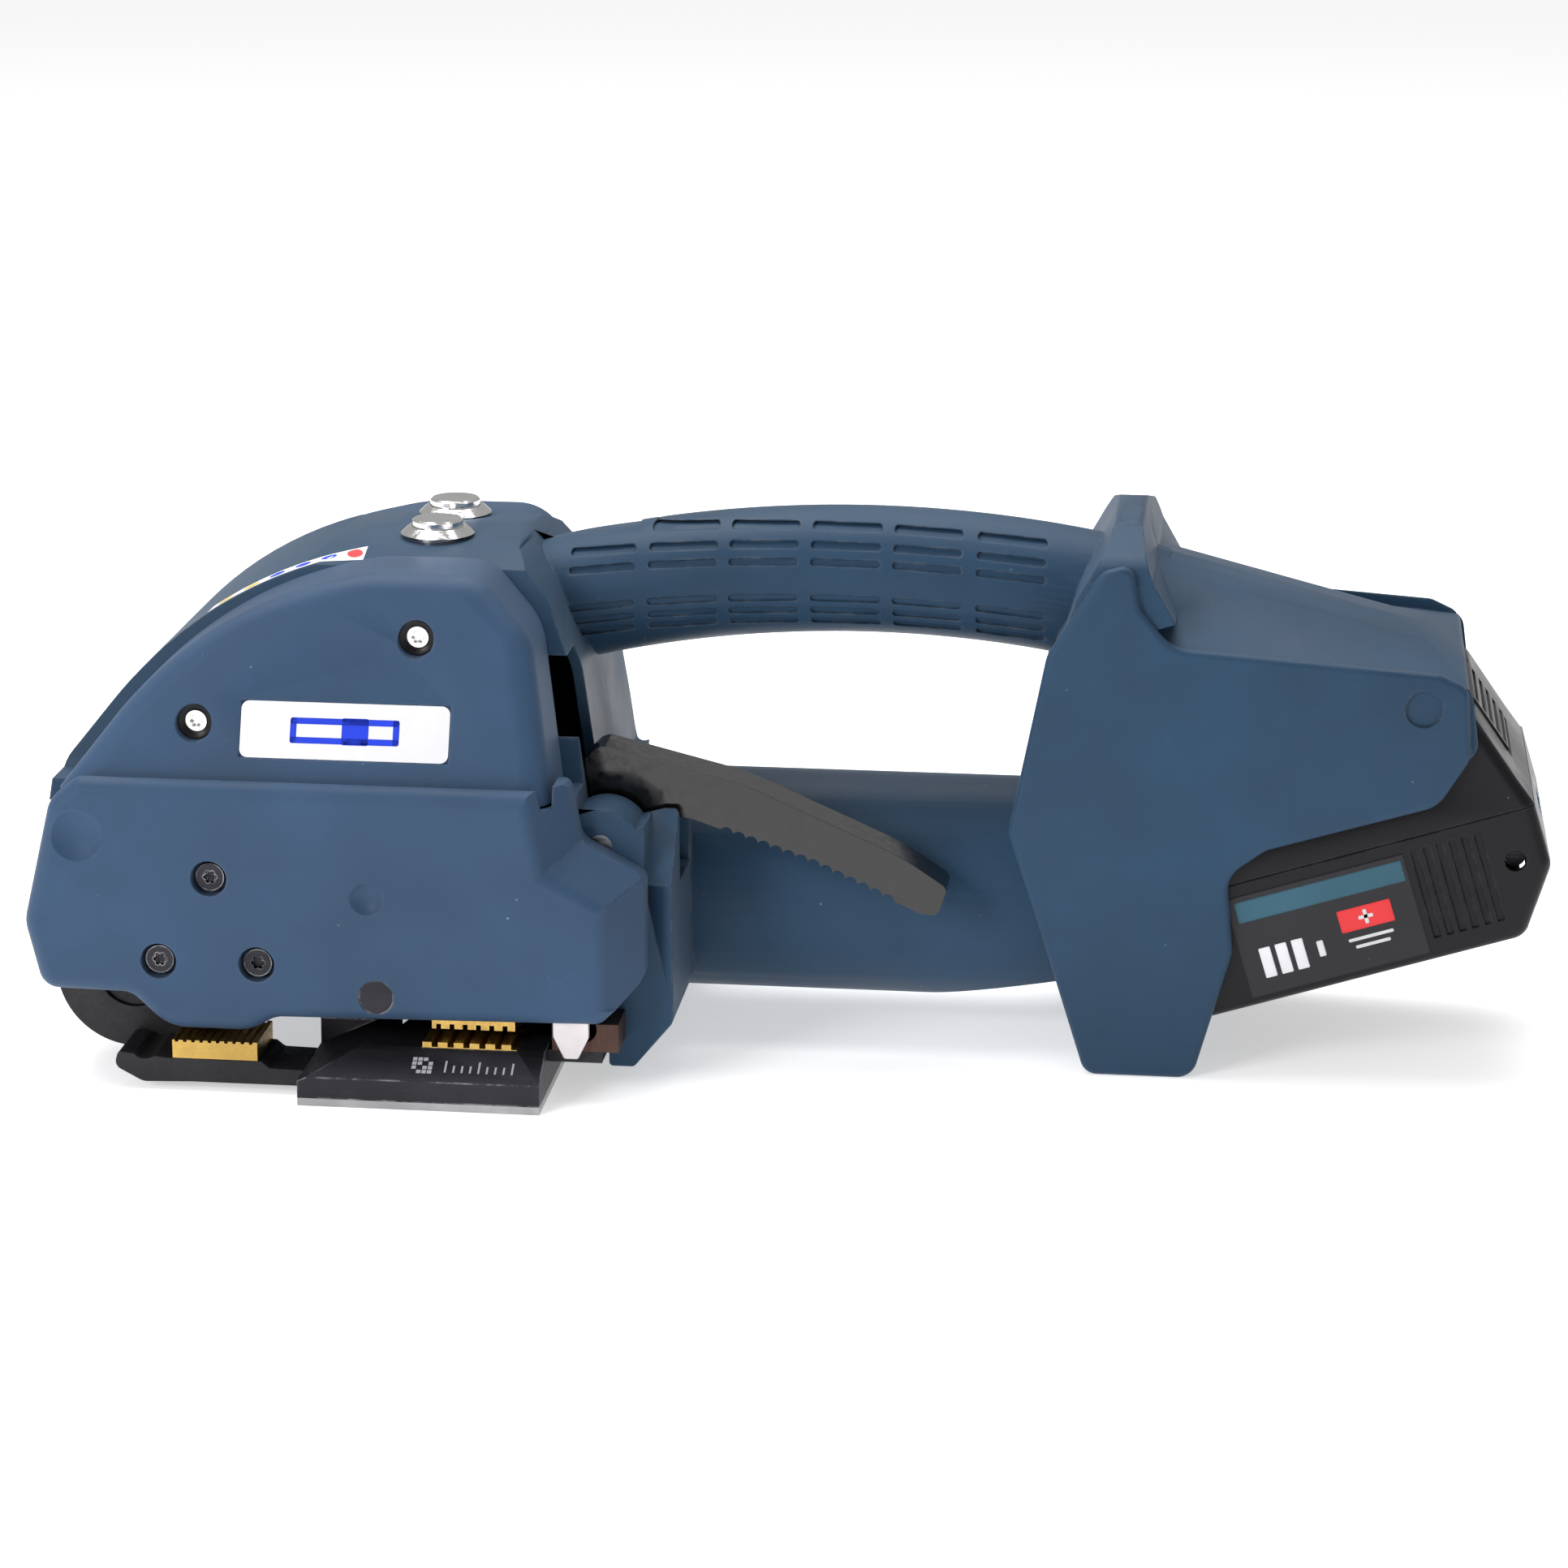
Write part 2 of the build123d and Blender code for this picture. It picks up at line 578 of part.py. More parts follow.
# ---- rocker and tension drive ----
def make_rocker():
    arm_corners = [
        (pivot_x + 11, pivot_z + 9, 10), (pivot_x + 9, pivot_z - 9, 9), (-30, 17.6, 6),
        (nose_x + 12, nose_z - 14, 8), (nose_x - 10, nose_z + 12, 10), (wheel_x - 16, wheel_z + 16, 12),
        (wheel_x + 12, wheel_z + 17, 12)]
    arm = slab(outline(arm_corners), rocker_near, rocker_far)
    arm = arm + rod_y(nose_x, nose_z, nose_radius, rocker_near, rocker_far)
    arm = arm - rod_y(pivot_x, pivot_z, pivot_radius + seat, rocker_near - 1, rocker_far + 1)
    arm = arm - rod_y(wheel_x, wheel_z, bearing_radius, rocker_near - 1, rocker_far - 2)
    arm = arm - rod_y(wheel_x, wheel_z, wheel_shaft_radius + 1, rocker_near - 1, rocker_far + 1)
    arm = arm - rod_y(*middle_gear, 2.5, rocker_near + 3, rocker_far + 1)
    arm = arm - ring_y(nose_x, nose_z, 9, 6.5, rocker_near - 1, rocker_near + 1.2)
    arm = arm - rod_y(nose_x, nose_z, 2.5, rocker_near - 1, rocker_near + 2)
    save("rocker_arm", arm)
    save("rocker_bearing", ring_y(wheel_x, wheel_z, bearing_radius, wheel_shaft_radius + seat,
                                  rocker_near, rocker_far - 2))
    save("middle_gear_pin", rod_y(*middle_gear, 2.5, rocker_near + 3, gear_far + 1))
    wheel = gear(wheel_x, wheel_z, wheel_radius, wheel_shaft_radius, 72, wheel_near, wheel_far)
    save("tension_wheel", wheel)
    shaft = rod_y(wheel_x, wheel_z, wheel_shaft_radius, wheel_near - 0.4, gear_far)
    save("tension_shaft", shaft)
    wheel_gear = gear(wheel_x, wheel_z, spur_radius - mesh, wheel_shaft_radius, 20, gear_near, gear_far)
    save("tension_gear", wheel_gear)
    save("middle_gear", gear(*middle_gear, middle_radius - mesh, 2.5 + seat, 26, gear_near, gear_far))
    save("pivot_gear", gear(pivot_x, pivot_z, spur_radius - mesh, pivot_radius + seat, 20,
                            gear_near, gear_far))
    cross = rod_y(cross_x, tube_axis, 4.0, web_near, -2.8)
    cross = cross + gear(cross_x, tube_axis, cross_radius - mesh, 4.0, 28, gear_near, gear_far)
    bevel = Pos(cross_x, -5.6, tube_axis) * Rot(-90, 0, 0) * Cone(11.0, 6.6, 2.8)
    cross = cross + bevel + rod_y(cross_x, tube_axis, 9, -11, -7)
    save("cross_shaft", cross)
    cross_bearing = ring_y(cross_x, tube_axis, 4.5, 4.0, web_near, web_far)
    save("cross_bearing", cross_bearing)


def make_motor():
    shaft = rod_x(0, tube_axis, 3.0, 19, 52)
    pinion = Pos(17.2, 0, tube_axis) * Rot(0, 90, 0) * Cone(3.4, 6.0, 5.0)
    save("motor_pinion", shaft + pinion)
    carrier = rod_x(0, tube_axis, 20, 50, 74) - rod_x(0, tube_axis, 3.0 + seat, 40, 52.5)
    save("planet_gearbox", carrier)
    can = fillet(rod_x(0, tube_axis, 21, 74, 122).edges().filter_by(GeomType.CIRCLE), 1.5)
    save("tension_motor", can + rod_x(0, tube_axis, 8, 122, 127))
    for x_low, x_high in ((56, 60), (98, 102)):
        motor_rings.append(rod_x(0, tube_axis, tube_radius - wall, x_low, x_high)
                           - rod_x(0, tube_axis, 21 if x_low > 74 else 20, x_low - 1, x_high + 1))
    save("motor_mounts", *motor_rings)


def make_weld_drive():
    motor = rod_y(weld_motor_x, weld_motor_z, 14, web_far + 4, seam_far - wall - 1)
    save("weld_motor", motor - rod_y(weld_motor_x, weld_motor_z, 2.5 + seat, seam_far - wall - 3, 40))
    pulley = rod_y(weld_motor_x, weld_motor_z, 2.5, seam_far - wall - 3, belt_near + belt_width)
    pulley = pulley + rod_y(weld_motor_x, weld_motor_z, weld_pulley_radius, belt_near,
                            belt_near + belt_width)
    save("weld_motor_pulley", pulley)
    belt = slab(belt_loop(belt_thickness + mesh), belt_near + 0.5, belt_near + belt_width - 0.5)
    belt = belt - slab(belt_loop(mesh), belt_near - 1, belt_near + belt_width + 1)
    save("drive_belt", belt)
    shaft = rod_y(cam_x, cam_z, 4.0, near_wall - 1, belt_near + belt_width)
    shaft = shaft + rod_y(cam_x, cam_z, cam_pulley_radius, belt_near, belt_near + belt_width)
    shaft = shaft + rod_y(cam_x + cam_throw, cam_z, cam_pin_radius, near_inner + 3, near_wall - 1)
    save("eccentric_shaft", shaft)
    bearing = ring_y(cam_x, cam_z, 7.5, 4.0 + seat, web_near, web_far)
    far_bearing = ring_y(cam_x, cam_z, 7.0, 4.0 + seat, seam_far - wall, seam_far)
    save("eccentric_bearings", bearing, far_bearing)
    arm_corners = [(cam_x - 9, cam_z + 9, 8), (cam_x - 9, 19.4, 0), (cam_x + 9, 19.4, 0),
                   (cam_x + 9, cam_z + 9, 8)]
    arm = slab(outline(arm_corners), near_inner + 3.6, near_wall - 1.6)
    arm = arm - rod_y(cam_x, cam_z, cam_pin_radius + 2 * cam_throw + gap, -90, -50)
    save("weld_arm", arm)
    shoe = block(1, 21, near_inner + 3.6, near_wall - 1.6, base_top + 1.4 + strap_thickness * 2, 19.4)
    cuts = [block(2 + 3.2 * step, 3.2 + 3.2 * step, -90, -50, 10, 17.0) for step in range(6)]
    save("weld_shoe", shoe - cuts)
    save("cutter_blade", slab(outline([(-5.5, 40, 0), (-5.5, 17.6, 0), (-3, 19.6, 0), (-3, 40, 0)]),
                              strap_near + 2, near_wall - 1))
    holder = block(-8, 0, near_inner + 1, near_wall - 0.4, 41, 50)
    save("cutter_holder", holder)


def belt_loop(grow):
    """Belt outline around both pulleys."""
    start = Location((weld_motor_x, weld_motor_z, 0))
    end = Location((cam_x, cam_z, 0))
    discs = [start * Circle(weld_pulley_radius + grow), end * Circle(cam_pulley_radius + grow)]
    return make_hull(discs[0].edges() + discs[1].edges())


# ---- lever and buttons ----
def make_lever():
    lever = slab(outline(lever_corners), lever_near, lever_far)
    lever = lever + rod_y(lever_x, lever_z, lever_hub_radius, lever_near, lever_far)
    for step in range(scallop_count):
        x = scallop_start + step * scallop_pitch
        under = 61.8 - 0.34 * (x - 60) if x < 88.8 else 52 - 0.45 * (x - 88.8)
        lever = lever - rod_y(x, under - 0.6, scallop_radius, -60, 0)
    lever = lever - rod_y(lever_x, lever_z, lever_pin_radius + seat, -60, 0)
    save("release_lever", lever)
    save("lever_spring", ring_y(lever_x, lever_z, 6.5, 4.4, lever_far + 0.4, lever_far + 3.4))


def make_buttons():
    bezels = []
    nuts = []
    for name, side in (("button_near", -1), ("button_far", 1)):
        y = side * button_pitch / 2
        top = crown_top - 0.1
        flange = Pos(button_x, y, top + 0.9) * Cone(button_flange_radius, button_head_radius + 0.9, 1.8)
        body = flange + rod_z(button_x, y, button_head_radius + 0.7, top - 16, top)
        body = body - rod_z(button_x, y, button_head_radius + 0.1, top - 3, top + 5)
        bezels.append(body)
        nut = rod_z(button_x, y, 8.5, top - 11, top - 8) - rod_z(button_x, y, button_head_radius + 0.7,
                                                               top - 12, top)
        nuts.append(nut)
        cap = rod_z(button_x, y, button_head_radius, top - 1.0, top + 3.6)
        cap = chamfer(cap.edges().sort_by(Axis.Z)[-1], 0.5)
        save(name, cap)
    save("button_bezels", *bezels)
    save("button_nuts", *nuts)


# ---- battery ----
def make_battery():
    lower_corners = [(battery_front, battery_seam, 0), (battery_front, battery_bottom, 3),
                     (258.5, battery_bottom, 5), (battery_tail, -26.5, 5),
                     (battery_tail, battery_seam, 0)]
    upper_corners = [(battery_front, battery_seam, 0), (battery_tail, battery_seam, 0),
                     (266.5, -4, 3), (261, 13, 5), (253, battery_top, 6),
                     (battery_front, battery_top, 3)]
    half = battery_half_width
    lower = slab(outline(lower_corners), -half, half)
    lower = fillet(front_edges(lower, -half).filter_by(lambda e: e.center().Z < battery_seam - 1), 3)
    lower = lower - block(battery_front + 2, 263, -half + 2, half - 2, battery_bottom + 2, 0)
    for side in (-1, 1):
        for step in range(6):
            u = 238.6 + 3.1 * step
            lower = lower - block(u - 0.8, u + 0.8, side * half - 0.7, side * half + 0.7, -36.3, -13.8)
    lower = lower - rod_y(rear_screw_u, rear_screw_v, 2.6, -half - 1, -half + 8)
    lower = lower - block(264, 280, -12, 12, -25, -16)
    upper = slab(outline(upper_corners), -half, half)
    upper = fillet([edge for y in (-half, half) for edge in front_edges(upper, y)
                    if edge.center().X > 254], shoulder_round)
    upper = upper - block(battery_front + 2, 252, -half + 2, half - 2, -20, battery_top - 2)
    upper = upper - block(battery_front - 1, 186, -15, 15, 10, 30)
    upper = upper + block(battery_front, 188, -17, 17, 8, 10)
    upper = upper - block(252, 275, -latch_half - gap, latch_half + gap, -3, 30)
    latch_corners = [(254, -2.2, 1), (266.4, -2.2, 1), (261.4, 13.2, 4), (254, 20.2, 2)]
    latch = slab(outline(latch_corners), -latch_half, latch_half)
    for step in range(5):
        share = step / 4
        latch = latch - rod_y(265.8 - 4.2 * share, 0.4 + 11.4 * share, 0.7, -latch_half + 2, latch_half - 2)
    cells = []
    for row in range(2):
        for column in range(5):
            cells.append(slope * rod_y(163 + 19 * column, -30.5 + 19 * row, 9.0, -32.5, 32.5))
    panel = block(264.1, battery_tail, -11.8, 11.8, -24.8, -16.2)
    panel = panel - block(battery_tail - 0.6, 275, -9, 9, -22.5, -18.5)
    save("battery_lower_case", slope * lower)
    save("battery_upper_case", slope * upper)
    save("battery_cells", *cells)
    save("battery_latch", slope * latch)
    save("battery_panel", slope * panel)
    save("battery_screw", slope * rod_y(rear_screw_u, rear_screw_v, 2.5, -half + 4.5, -half + 8))
    label = block(192, 236, -half - 0.2, -half, -39.5, -14)
    save("battery_label", slope * label)
    terminal = block(battery_front + 3, 182, -12, 12, 13, battery_top + gap)
    save("battery_terminals", slope * terminal)


def make_electronics():
    board = slope * block(160, 238, -24, 24, 27, 28.6)
    parts = [slope * block(170 + 16 * step, 178 + 16 * step, -10, 10, 28.6, 33) for step in range(3)]
    posts = [slope * rod_z(u, y, 3, battery_top + gap + wall, 27) for u in (166, 230) for y in (-20, 20)]
    save("control_board", board)
    save("board_parts", *parts)
    save("board_posts", *posts)


def torx_screw(x, z, y_head, head, length):
    body = rod_y(x, z, head, y_head, y_head + 2.2)
    body = body + rod_y(x, z, screw_shank_radius - seat, y_head + 2.2, y_head + length)
    socket = [rod_y(x + 1.15 * cos(pi * lobe / 3), z + 1.15 * sin(pi * lobe / 3), 0.5, y_head - 1,
                    y_head + 1.3) for lobe in range(6)]
    return body - rod_y(x, z, 1.2, y_head - 1, y_head + 1.3) - socket


def make_screws():
    silver = []
    for x, z in silver_places:
        seat_y = lean_y(cover_near, z) + recess_depth
        silver.append(torx_screw(x, z, seat_y - 2.2, screw_head_radius, 18))
    save("cover_screws", *silver)
    black = [torx_screw(x, z, near_face + black_depth - 2.2, screw_head_radius, 4.4)
             for x, z in black_places]
    save("lower_cover_screws", *black)
    outer = []
    for x, z in far_places:
        head_y = far_cover_front(z) - far_screw_depth
        outer.append(mirror(torx_screw(x, z, -head_y - 2.2, screw_head_radius, 8), Plane.XZ))
    save("far_cover_screws", *outer)


make_casing()
make_upper_cover()
make_lower_cover()
make_far_cover()
make_base()
make_main_frame()
make_rocker()
make_motor()
make_weld_drive()
make_lever()
make_buttons()
make_battery()
make_electronics()
make_screws()
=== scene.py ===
import json
from math import cos, pi, radians, sin
import bmesh
import bpy
from mathutils import Matrix, Vector
from mathutils.bvhtree import BVHTree

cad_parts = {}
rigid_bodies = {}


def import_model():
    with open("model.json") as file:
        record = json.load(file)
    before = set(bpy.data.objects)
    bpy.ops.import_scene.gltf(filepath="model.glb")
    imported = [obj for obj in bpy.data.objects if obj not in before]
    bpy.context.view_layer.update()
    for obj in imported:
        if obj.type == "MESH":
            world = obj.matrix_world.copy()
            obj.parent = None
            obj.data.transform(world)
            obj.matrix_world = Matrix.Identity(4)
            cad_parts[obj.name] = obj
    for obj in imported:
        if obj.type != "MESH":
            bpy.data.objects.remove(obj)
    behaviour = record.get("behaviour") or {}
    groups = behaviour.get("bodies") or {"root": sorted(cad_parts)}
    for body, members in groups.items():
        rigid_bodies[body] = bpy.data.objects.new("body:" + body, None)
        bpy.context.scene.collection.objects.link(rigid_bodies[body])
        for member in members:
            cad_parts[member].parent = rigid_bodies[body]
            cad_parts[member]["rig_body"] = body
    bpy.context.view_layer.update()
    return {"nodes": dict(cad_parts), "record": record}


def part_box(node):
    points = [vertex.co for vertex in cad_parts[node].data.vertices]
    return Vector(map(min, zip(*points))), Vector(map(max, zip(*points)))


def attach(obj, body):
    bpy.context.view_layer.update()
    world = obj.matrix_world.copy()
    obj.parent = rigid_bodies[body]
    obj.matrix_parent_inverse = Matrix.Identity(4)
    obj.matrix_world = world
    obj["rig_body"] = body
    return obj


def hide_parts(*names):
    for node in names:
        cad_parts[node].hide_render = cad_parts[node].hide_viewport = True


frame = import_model()

# Looks of a hand-held battery strapping tool. Metres, in the CAD frame.
MM = 0.001
motor_low, motor_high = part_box("tension_motor")
MIDDLE_Y = (motor_low.y + motor_high.y) / 2      # plane that splits the handle and the casing
SLOPE = radians(17.5)                            # the battery slides in on this slope
LEAN_RISE, LEAN_RUN = 46.0, 18.0                 # slope of the upper cover's leaning face, mm
LEAN_FOOT = (-73.0, 73.0)                        # its foot: y from the middle plane and z, mm
LEAN = Vector((0.0, -LEAN_RISE, LEAN_RUN)).normalized()      # its outward normal
SLOPE_X = Vector((cos(SLOPE), 0.0, sin(SLOPE)))  # along the battery
SLOPE_Z = Vector((-sin(SLOPE), 0.0, cos(SLOPE)))
PLAIN_SPECULAR = 0.2                             # for every finish that isn't metal
MIX_COLOURS = (6, 7)                             # colour inputs of a Mix node
MIX_RESULT = 2                                   # its colour output
nodes = frame["nodes"]


# ---- shader groups ----
def start_group(name, inputs, outputs):
    tree = bpy.data.node_groups.new(name, "ShaderNodeTree")
    for label, kind, value in inputs:
        socket = tree.interface.new_socket(label, in_out="INPUT", socket_type=kind)
        socket.default_value = value
    for label, kind in outputs:
        tree.interface.new_socket(label, in_out="OUTPUT", socket_type=kind)
    return tree, tree.nodes.new("NodeGroupInput"), tree.nodes.new("NodeGroupOutput")


def add(tree, kind, **settings):
    """A node with its properties set and, for inputs, a value by name or number."""
    node = tree.nodes.new(kind)
    values = settings.pop("values", {})
    for key, value in settings.items():
        setattr(node, key, value)
    for key, value in values.items():
        node.inputs[key].default_value = value
    return node


def step_map(tree, source, low, high, to_low=0.0, to_high=1.0):
    """Value remapped from low..high to to_low..to_high, smoothly and clamped."""
    node = add(tree, "ShaderNodeMapRange", interpolation_type="SMOOTHSTEP")
    for slot, value in (("From Min", low), ("From Max", high), ("To Min", to_low), ("To Max", to_high)):
        node.inputs[slot].default_value = value
    tree.links.new(source, node.inputs["Value"])
    return node.outputs["Result"]


def times(tree, first, second):
    node = add(tree, "ShaderNodeMath", operation="MULTIPLY")
    for index, item in enumerate((first, second)):
        if hasattr(item, "is_linked"):
            tree.links.new(item, node.inputs[index])
        else:
            node.inputs[index].default_value = item
    return node.outputs[0]


def noise(tree, coordinates, scale, detail=3.0, roughness=0.55):
    node = add(tree, "ShaderNodeTexNoise", values={"Detail": detail, "Roughness": roughness})
    if hasattr(scale, "is_linked"):
        tree.links.new(scale, node.inputs["Scale"])
    else:
        node.inputs["Scale"].default_value = scale
    tree.links.new(coordinates, node.inputs["Vector"])
    return node.outputs["Fac"]


def make_grain_group():
    """Fine texture of a mould: grain bump, slow tone changes and pale dust."""
    tree, given, result = start_group(
        "moulded_grain",
        [("Scale", "NodeSocketFloat", 2600.0), ("Depth", "NodeSocketFloat", 0.5),
         ("Dust", "NodeSocketFloat", 0.4)],
        [("Tone", "NodeSocketFloat"), ("Dust", "NodeSocketFloat"), ("Height", "NodeSocketFloat")])
    place = add(tree, "ShaderNodeTexCoord").outputs["Object"]
    fine = noise(tree, place, given.outputs["Scale"], 2.0)
    tree.links.new(times(tree, fine, given.outputs["Depth"]), result.inputs["Height"])
    slow = noise(tree, place, 26.0, 4.0)
    tree.links.new(step_map(tree, slow, 0.3, 0.7), result.inputs["Tone"])
    specks = add(tree, "ShaderNodeTexVoronoi", values={"Scale": 190.0, "Randomness": 1.0})
    tree.links.new(place, specks.inputs["Vector"])
    dots = step_map(tree, specks.outputs["Distance"], 0.03, 0.075, 1.0, 0.0)
    patches = step_map(tree, noise(tree, place, 90.0, 2.0), 0.55, 0.72)
    tree.links.new(times(tree, times(tree, dots, patches), given.outputs["Dust"]), result.inputs["Dust"])
    return tree


def make_wear_group():
    """Rubbed edges: a mask, broken up by noise."""
    tree, given, result = start_group(
        "edge_wear",
        [("Radius", "NodeSocketFloat", 0.0008), ("Spread", "NodeSocketFloat", 0.5)],
        [("Mask", "NodeSocketFloat")])
    bevel = add(tree, "ShaderNodeBevel", samples=4)
    tree.links.new(given.outputs["Radius"], bevel.inputs["Radius"])
    plain = add(tree, "ShaderNodeNewGeometry")
    dot = add(tree, "ShaderNodeVectorMath", operation="DOT_PRODUCT")
    tree.links.new(bevel.outputs["Normal"], dot.inputs[0])
    tree.links.new(plain.outputs["Normal"], dot.inputs[1])
    edge = step_map(tree, dot.outputs["Value"], 0.86, 0.99, 1.0, 0.0)
    place = add(tree, "ShaderNodeTexCoord").outputs["Object"]
    broken = step_map(tree, noise(tree, place, 160.0, 6.0, 0.7), 0.42, 0.62)
    tree.links.new(times(tree, times(tree, edge, broken), given.outputs["Spread"]), result.inputs["Mask"])
    return tree


def make_brushed_group():
    """Machined metal: fine lines along one direction, stains and small pits."""
    tree, given, result = start_group(
        "brushed_lines",
        [("Lines", "NodeSocketVector", (60.0, 2500.0, 2500.0)), ("Depth", "NodeSocketFloat", 0.4)],
        [("Lines", "NodeSocketFloat"), ("Stain", "NodeSocketFloat"), ("Height", "NodeSocketFloat")])
    place = add(tree, "ShaderNodeTexCoord").outputs["Object"]
    stretched = add(tree, "ShaderNodeVectorMath", operation="MULTIPLY")
    tree.links.new(place, stretched.inputs[0])
    tree.links.new(given.outputs["Lines"], stretched.inputs[1])
    lines = noise(tree, stretched.outputs["Vector"], 1.0, 3.0)
    tree.links.new(lines, result.inputs["Lines"])
    tree.links.new(times(tree, lines, given.outputs["Depth"]), result.inputs["Height"])
    tree.links.new(step_map(tree, noise(tree, place, 70.0, 5.0), 0.35, 0.7), result.inputs["Stain"])
    return tree


GRAIN = make_grain_group()
WEAR = make_wear_group()
BRUSHED = make_brushed_group()


# ---- materials ----
def start_material(name, colour, roughness, metallic=0.0, specular=PLAIN_SPECULAR):
    material = bpy.data.materials.new(name)
    material.use_nodes = True
    material.diffuse_color = (*colour, 1.0)
    tree = material.node_tree
    shader = tree.nodes["Principled BSDF"]
    shader.inputs["Base Color"].default_value = (*colour, 1.0)
    shader.inputs["Roughness"].default_value = roughness
    shader.inputs["Metallic"].default_value = metallic
    if not metallic:
        shader.inputs["Specular IOR Level"].default_value = specular
    return material, tree, shader


def put_group(tree, group, **values):
    node = add(tree, "ShaderNodeGroup", node_tree=group)
    for key, value in values.items():
        node.inputs[key].default_value = value
    return node


def mix(tree, factor, first, second):
    """Colour mix: first where the factor is 0, second where it is 1."""
    node = add(tree, "ShaderNodeMix", data_type="RGBA")
    tree.links.new(factor, node.inputs["Factor"])
    for index, item in zip(MIX_COLOURS, (first, second)):
        if hasattr(item, "is_linked"):
            tree.links.new(item, node.inputs[index])
        else:
            node.inputs[index].default_value = (*item, 1.0)
    return node.outputs[MIX_RESULT]


def shade(colour, share):
    return tuple(channel * share for channel in colour)


def moulded(name, colour, roughness, grain=2600.0, depth=0.5, dust=0.4, wear=0.25, sheen=0.0):
    """Moulded plastic with its grain, tone, dust and rubbed edges."""
    spread = 0.12
    material, tree, shader = start_material(name, colour, roughness)
    surface = put_group(tree, GRAIN, Scale=grain, Depth=depth, Dust=dust)
    worn = put_group(tree, WEAR, Radius=0.0009, Spread=wear)
    base = mix(tree, surface.outputs["Tone"], shade(colour, 1 - spread), shade(colour, 1 + spread))
    pale = tuple(0.55 * channel + 0.22 for channel in colour)
    base = mix(tree, worn.outputs["Mask"], base, pale)
    base = mix(tree, surface.outputs["Dust"], base, (0.55, 0.56, 0.58))
    tree.links.new(base, shader.inputs["Base Color"])
    tree.links.new(step_map(tree, surface.outputs["Tone"], 0.0, 1.0, roughness - 0.05, roughness + 0.06),
                   shader.inputs["Roughness"])
    rounded = add(tree, "ShaderNodeBevel", samples=4, values={"Radius": 0.0006})
    bump = add(tree, "ShaderNodeBump", values={"Strength": 0.35, "Distance": 0.0002})
    tree.links.new(rounded.outputs["Normal"], bump.inputs["Normal"])
    tree.links.new(surface.outputs["Height"], bump.inputs["Height"])
    tree.links.new(bump.outputs["Normal"], shader.inputs["Normal"])
    if sheen:
        shader.inputs["Sheen Weight"].default_value = sheen
        shader.inputs["Sheen Roughness"].default_value = 0.5
    return material


def metal(name, colour, roughness, lines=(60.0, 2500.0, 2500.0), depth=0.4, worn_colour=None, wear=0.0,
          metallic=1.0, spread=0.25, specular=PLAIN_SPECULAR):
    """Metal with machining lines, stains and, where it is coated, bright worn edges."""
    material, tree, shader = start_material(name, colour, roughness, metallic, specular)
    surface = put_group(tree, BRUSHED, Lines=lines, Depth=depth)
    base = mix(tree, surface.outputs["Stain"], shade(colour, 1 - spread), colour)
    if wear:
        worn = put_group(tree, WEAR, Radius=0.0006, Spread=wear)
        base = mix(tree, worn.outputs["Mask"], base, worn_colour)
    tree.links.new(base, shader.inputs["Base Color"])
    tree.links.new(step_map(tree, surface.outputs["Lines"], 0.3, 0.7, roughness - 0.07, roughness + 0.1),
                   shader.inputs["Roughness"])
    bump = add(tree, "ShaderNodeBump", values={"Strength": 0.25, "Distance": 0.0001})
    tree.links.new(surface.outputs["Height"], bump.inputs["Height"])
    tree.links.new(bump.outputs["Normal"], shader.inputs["Normal"])
    return material


